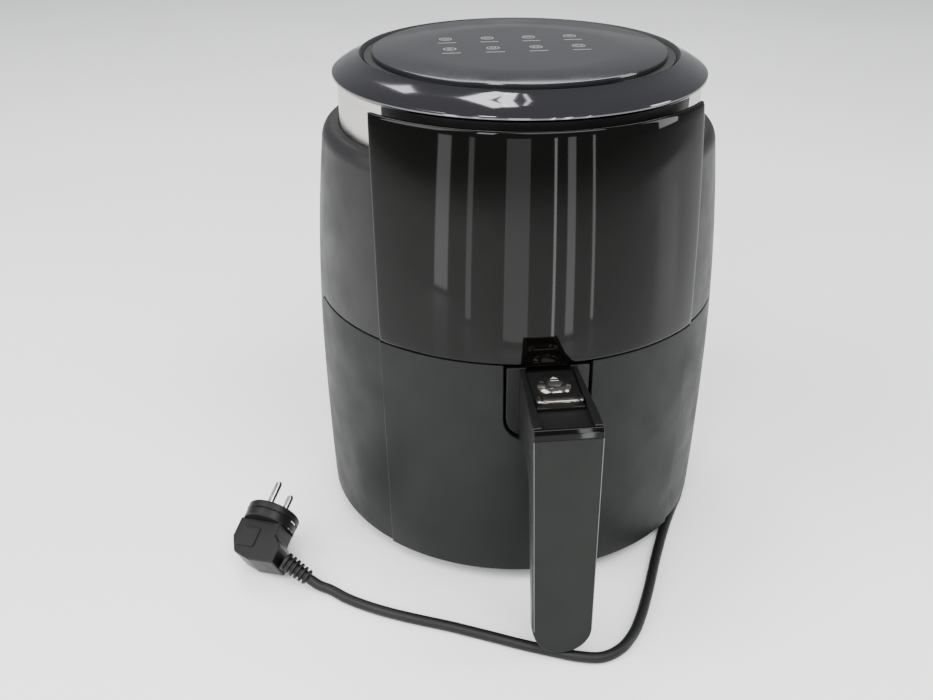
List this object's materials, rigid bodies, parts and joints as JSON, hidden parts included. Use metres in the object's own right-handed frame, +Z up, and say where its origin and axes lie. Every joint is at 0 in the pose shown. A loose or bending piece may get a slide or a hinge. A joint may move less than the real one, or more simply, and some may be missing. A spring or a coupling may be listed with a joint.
{
  "type": "air fryer",
  "caption": "Round countertop air fryer with a pull-out pan and lift-out basket, straight front handle with a guarded release button, touch panel top and mains cord.",
  "frame": {"origin": "on the table, under the centre of the box around the fryer without its cord and plug", "axes": "+Z up, +X to the right seen from the front, +Y from the handle towards the rear air outlet; the drawer pulls out along -Y"},
  "size_m": [0.3621, 0.4298, 0.327],
  "materials": {
    "charcoal_shell": "fine grain, satin black-grey",
    "drawer_grey": "fine grain, matte dark grey",
    "piano_black": "high gloss black",
    "black_plastic": "matte black",
    "gunmetal_plating": "glossy gunmetal plating",
    "smoke_plastic": "glossy smoked plastic",
    "brushed_band": "brushed",
    "bright_steel": "polished",
    "nonstick_coating": "satin black non-stick coating",
    "galvanised_steel": "galvanised",
    "motor_steel": "laminated steel",
    "rubber": "soft black",
    "circuit_board": "green solder mask",
    "touch_glass": "glossy dark grey"
  },
  "bodies": {
    "housing": {"outer_shell": "charcoal_shell", "front_panel": "piano_black", "base_plate": "black_plastic", "inner_housing": "black_plastic", "air_outlet": "black_plastic", "safety_switch": "black_plastic", "top_carrier": "black_plastic", "groove_seal": "black_plastic", "plug_body": "black_plastic", "top_ring": "gunmetal_plating", "collar_band": "brushed_band", "temperature_sensor": "bright_steel", "plug_pin_1": "bright_steel", "plug_pin_2": "bright_steel", "earth_clip_1": "bright_steel", "earth_clip_2": "bright_steel", "heating_element": "nonstick_coating", "base_screw_1": "galvanised_steel", "base_screw_2": "galvanised_steel", "base_screw_3": "galvanised_steel", "chamber_liner": "galvanised_steel", "chamber_roof": "galvanised_steel", "exhaust_duct": "galvanised_steel", "motor_bracket": "galvanised_steel", "motor": "motor_steel", "foot_front_right": "rubber", "foot_rear_right": "rubber", "foot_rear_left": "rubber", "foot_front_left": "rubber", "cord_gland": "rubber", "power_cord": "rubber", "plug_strain_relief": "rubber", "power_board": "circuit_board", "control_board": "circuit_board", "touch_panel": "touch_glass", "thermal_fuse": "touch_glass"},
    "rotor": {"motor_shaft": "bright_steel", "hot_air_fan": "galvanised_steel", "cooling_fan": "black_plastic"},
    "plunger": {"switch_plunger": "rubber"},
    "drawer": {"drawer_front": "drawer_grey", "drawer_cover": "black_plastic", "drawer_screw_1": "galvanised_steel", "drawer_screw_2": "galvanised_steel", "drawer_screw_3": "galvanised_steel", "drawer_screw_4": "galvanised_steel", "pan": "nonstick_coating", "pan_bracket": "galvanised_steel", "basket": "nonstick_coating", "basket_arm": "galvanised_steel", "handle_bracket": "black_plastic", "arm_screw_1": "galvanised_steel", "arm_screw_2": "galvanised_steel", "handle_shell": "black_plastic", "handle_plate": "drawer_grey", "handle_bevel": "gunmetal_plating", "button_spring": "bright_steel"},
    "guard": {"button_guard": "smoke_plastic"},
    "release_key": {"release_button": "black_plastic", "catch_lever": "galvanised_steel"}
  },
  "joints": [
    {"name": "rotor_spin", "type": "hinge", "parent": "housing", "child": "rotor", "pos_m": [0, 0.026, 0.24], "axis": [0, 0, 1], "continuous": true},
    {"name": "switch_travel", "type": "slide", "parent": "housing", "child": "plunger", "axis": [0, 1, 0], "range_m": [0, 0.0015], "stiffness_N_per_m": 150, "springref_m": -0.002},
    {"name": "drawer_slide", "type": "slide", "parent": "housing", "child": "drawer", "axis": [0, -1, 0], "range_m": [0, 0.24]},
    {"name": "guard_slide", "type": "slide", "parent": "drawer", "child": "guard", "axis": [0, -0.9989, -0.0477], "range_m": [0, 0.018]},
    {"name": "release_press", "type": "slide", "parent": "drawer", "child": "release_key", "axis": [0, 0, -1], "range_m": [0, 0.003], "stiffness_N_per_m": 300, "springref_m": -0.002, "deforming": ["button_spring"]}
  ]
}
